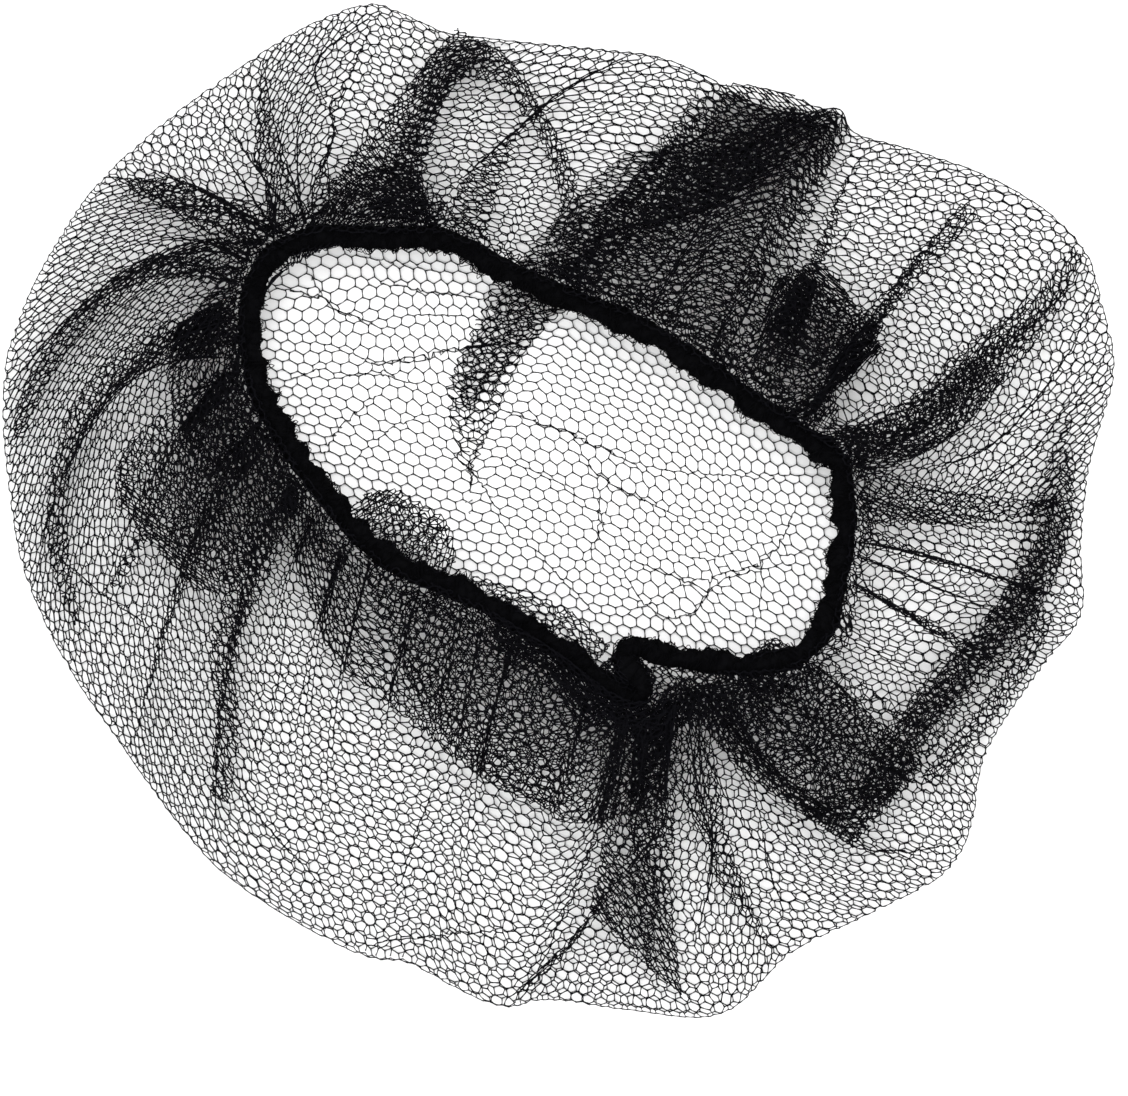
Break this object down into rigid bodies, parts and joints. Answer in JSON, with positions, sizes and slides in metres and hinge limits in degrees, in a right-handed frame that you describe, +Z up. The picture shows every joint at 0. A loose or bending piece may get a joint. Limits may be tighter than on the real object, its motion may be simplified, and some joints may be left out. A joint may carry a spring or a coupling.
{
  "type": "hairnet",
  "caption": "Disc of fine net folded over at its rim and gathered onto a closed elastic round an open mouth, lying flat.",
  "frame": {"origin": "on the surface that the net lies on, under the middle of its bounding box", "axes": "+X along the long axis of the mouth, +Z up out of the mouth"},
  "size_m": [0.286, 0.261, 0.0194],
  "materials": {
    "net": "matte black nylon thread, knitted as a fine open hexagonal net",
    "elastic": "matte black knitted elastic, covered by the gathered edge of the net"
  },
  "bodies": {
    "root": {"net_cap": "net", "elastic_band": "elastic"}
  },
  "joints": []
}
